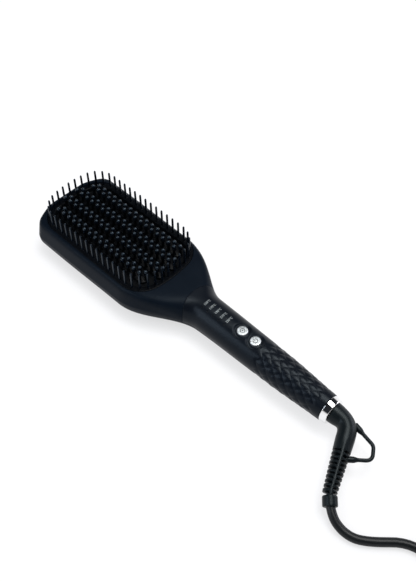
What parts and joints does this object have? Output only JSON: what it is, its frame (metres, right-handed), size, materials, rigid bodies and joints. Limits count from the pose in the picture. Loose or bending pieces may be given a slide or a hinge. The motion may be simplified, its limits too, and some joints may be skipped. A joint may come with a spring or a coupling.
{
  "type": "heated straightening brush",
  "caption": "Heated paddle brush: capped comb teeth inside a ring of plain bristles, round handle with two push buttons and a swivelling mains cord.",
  "frame": {"origin": "on the floor plane under the middle of the brush's length, from the head's tip to the end of the chrome ring, without the cord and its sleeve", "axes": "+X along the handle towards the cord, +Y across, +Z out of the bristle side; the brush lies on its back"},
  "size_m": [0.4485, 0.1362, 0.0445],
  "materials": {
    "shell_plastic": "fine moulded matte, black",
    "frame_nylon": "black nylon",
    "bristle_nylon": "black nylon, slight sheen",
    "cap_nylon": "glossy black",
    "heater_ceramic": "black ceramic coat on aluminium",
    "heat_resin": "heat resistant resin",
    "ptc_ceramic": "grey fired ceramic",
    "contact_brass": "rolled strip",
    "mica_sheet": "mica paper",
    "spring_steel": "rolled",
    "screw_steel": "zinc plated",
    "fuse_metal": "drawn can",
    "sensor_glass": "glass bead",
    "board_laminate": "solder mask",
    "component_plastic": "epoxy",
    "led_resin": "clear resin",
    "capacitor_box": "boxed film",
    "terminal_resin": "natural resin",
    "clear_guide": "smoked clear resin",
    "button_plastic": "silver painted, glossy",
    "ring_chrome": "bright chrome",
    "bush_nylon": "natural nylon",
    "spindle_resin": "black resin",
    "cord_rubber": "matte black flexible PVC",
    "plug_rubber": "matte black PVC",
    "pin_steel": "nickel plated",
    "lead_insulation": "glass sleeved wire"
  },
  "bodies": {
    "root": {"back_shell": "shell_plastic", "front_shell": "shell_plastic", "handle_cover": "shell_plastic", "bristle_frame": "frame_nylon", "edge_bristles": "bristle_nylon", "heater_plate": "heater_ceramic", "plate_carrier": "heat_resin", "ptc_heaters": "ptc_ceramic", "electrode_strips": "contact_brass", "insulation_sheet": "mica_sheet", "clamp_plate": "spring_steel", "clamp_screws": "screw_steel", "thermal_fuse": "fuse_metal", "thermistor": "sensor_glass", "control_board": "board_laminate", "tact_switches": "component_plastic", "indicator_leds": "led_resin", "filter_capacitor": "capacitor_box", "triac": "component_plastic", "microcontroller": "component_plastic", "mains_terminal": "terminal_resin", "light_guide": "clear_guide", "end_ring": "ring_chrome", "swivel_bush": "bush_nylon", "contact_springs": "contact_brass", "contact_holder": "terminal_resin", "heater_leads": "lead_insulation", "mains_leads": "lead_insulation", "case_screws": "screw_steel", "heated_comb_1": "heater_ceramic", "comb_caps_1": "cap_nylon", "heated_comb_2": "heater_ceramic", "comb_caps_2": "cap_nylon", "heated_comb_3": "heater_ceramic", "comb_caps_3": "cap_nylon", "heated_comb_4": "heater_ceramic", "comb_caps_4": "cap_nylon"},
    "mode_button": {"mode_button": "button_plastic", "mode_plunger": "component_plastic"},
    "power_button": {"power_button": "button_plastic", "power_plunger": "component_plastic"},
    "swivel": {"swivel_spindle": "spindle_resin", "slip_rings": "contact_brass", "cord_sleeve": "cord_rubber", "hanging_loop": "cord_rubber", "mains_cord": "cord_rubber", "cord_coil": "cord_rubber", "plug_tail": "cord_rubber", "plug_body": "plug_rubber", "plug_pins": "pin_steel"}
  },
  "joints": [
    {"name": "mode_press", "type": "slide", "parent": "root", "child": "mode_button", "axis": [0, 0, -1], "range_m": [0, 0.0006], "stiffness_N_per_m": 900, "springref_m": -0.0004},
    {"name": "power_press", "type": "slide", "parent": "root", "child": "power_button", "axis": [0, 0, -1], "range_m": [0, 0.0006], "stiffness_N_per_m": 900, "springref_m": -0.0004},
    {"name": "cord_swivel", "type": "hinge", "parent": "root", "child": "swivel", "pos_m": [0.13625, 0, 0.01575], "axis": [1, 0, 0], "continuous": true}
  ]
}
